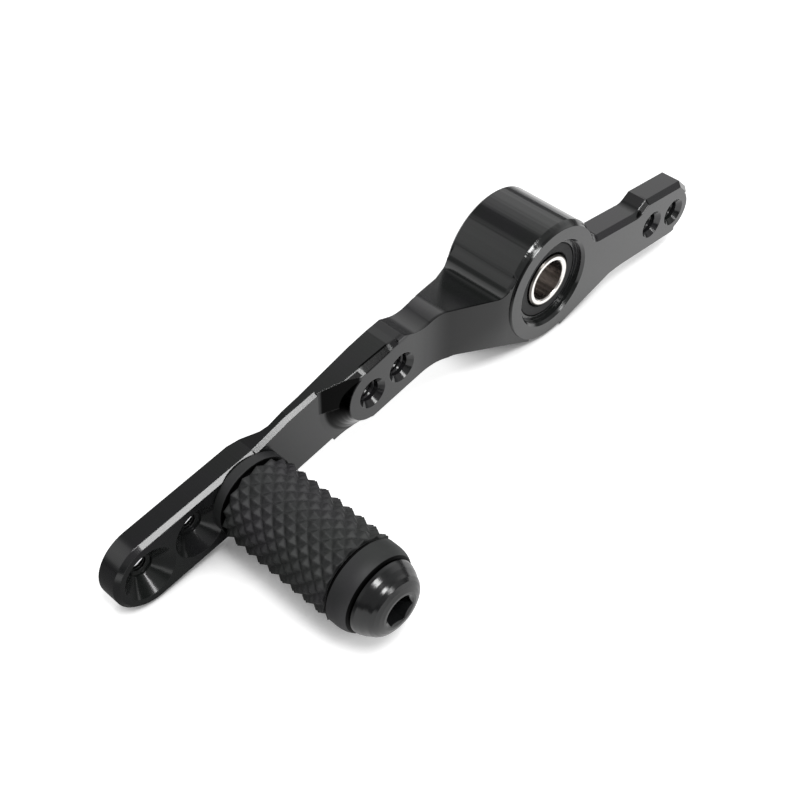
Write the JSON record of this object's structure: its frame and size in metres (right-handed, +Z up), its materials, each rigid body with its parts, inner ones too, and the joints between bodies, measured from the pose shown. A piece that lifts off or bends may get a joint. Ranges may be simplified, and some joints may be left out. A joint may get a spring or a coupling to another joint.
{
  "type": "rear set foot control lever",
  "caption": "Machined foot lever with a knurled toe peg, offset arm, threaded adjustment holes and a sealed needle-bearing pivot hub.",
  "frame": {"origin": "on the pivot axis, halfway along the pivot sleeve", "axes": "+Y along the pivot axis, away from the side the toe peg sticks out of; +X from the toe peg end towards the linkage end; +Z up, with the part as it lies in the picture"},
  "size_m": [0.175, 0.0591, 0.0306],
  "materials": {
    "lever_anodised": "satin black anodised",
    "sleeve_steel": "ground",
    "bearing_steel": "drawn, satin",
    "roller_steel": "polished",
    "cage_steel": "pressed, satin",
    "seal_rubber": "matt",
    "ring_steel": "pressed, matt",
    "peg_anodised": "knurled, black anodised",
    "screw_black": "gloss black"
  },
  "bodies": {
    "sleeve": {"pivot_sleeve": "sleeve_steel"},
    "lever": {"lever": "lever_anodised", "bearing_cup": "bearing_steel", "front_seal_lip": "seal_rubber", "front_seal_ring": "ring_steel", "rear_seal_lip": "seal_rubber", "rear_seal_ring": "ring_steel", "toe_peg": "peg_anodised", "peg_screw": "screw_black"},
    "rollers": {"needle_rollers": "roller_steel", "roller_cage": "cage_steel"}
  },
  "joints": [
    {"name": "lever_pivot", "type": "hinge", "parent": "sleeve", "child": "lever", "pos_m": [0, 0, 0], "axis": [0, 1, 0], "continuous": true},
    {"name": "roller_turn", "type": "hinge", "parent": "sleeve", "child": "rollers", "pos_m": [0, 0, 0], "axis": [0, 1, 0], "continuous": true}
  ],
  "couplings": [
    {"joint": "roller_turn", "follows": "lever_pivot", "ratio": 0.5667}
  ]
}
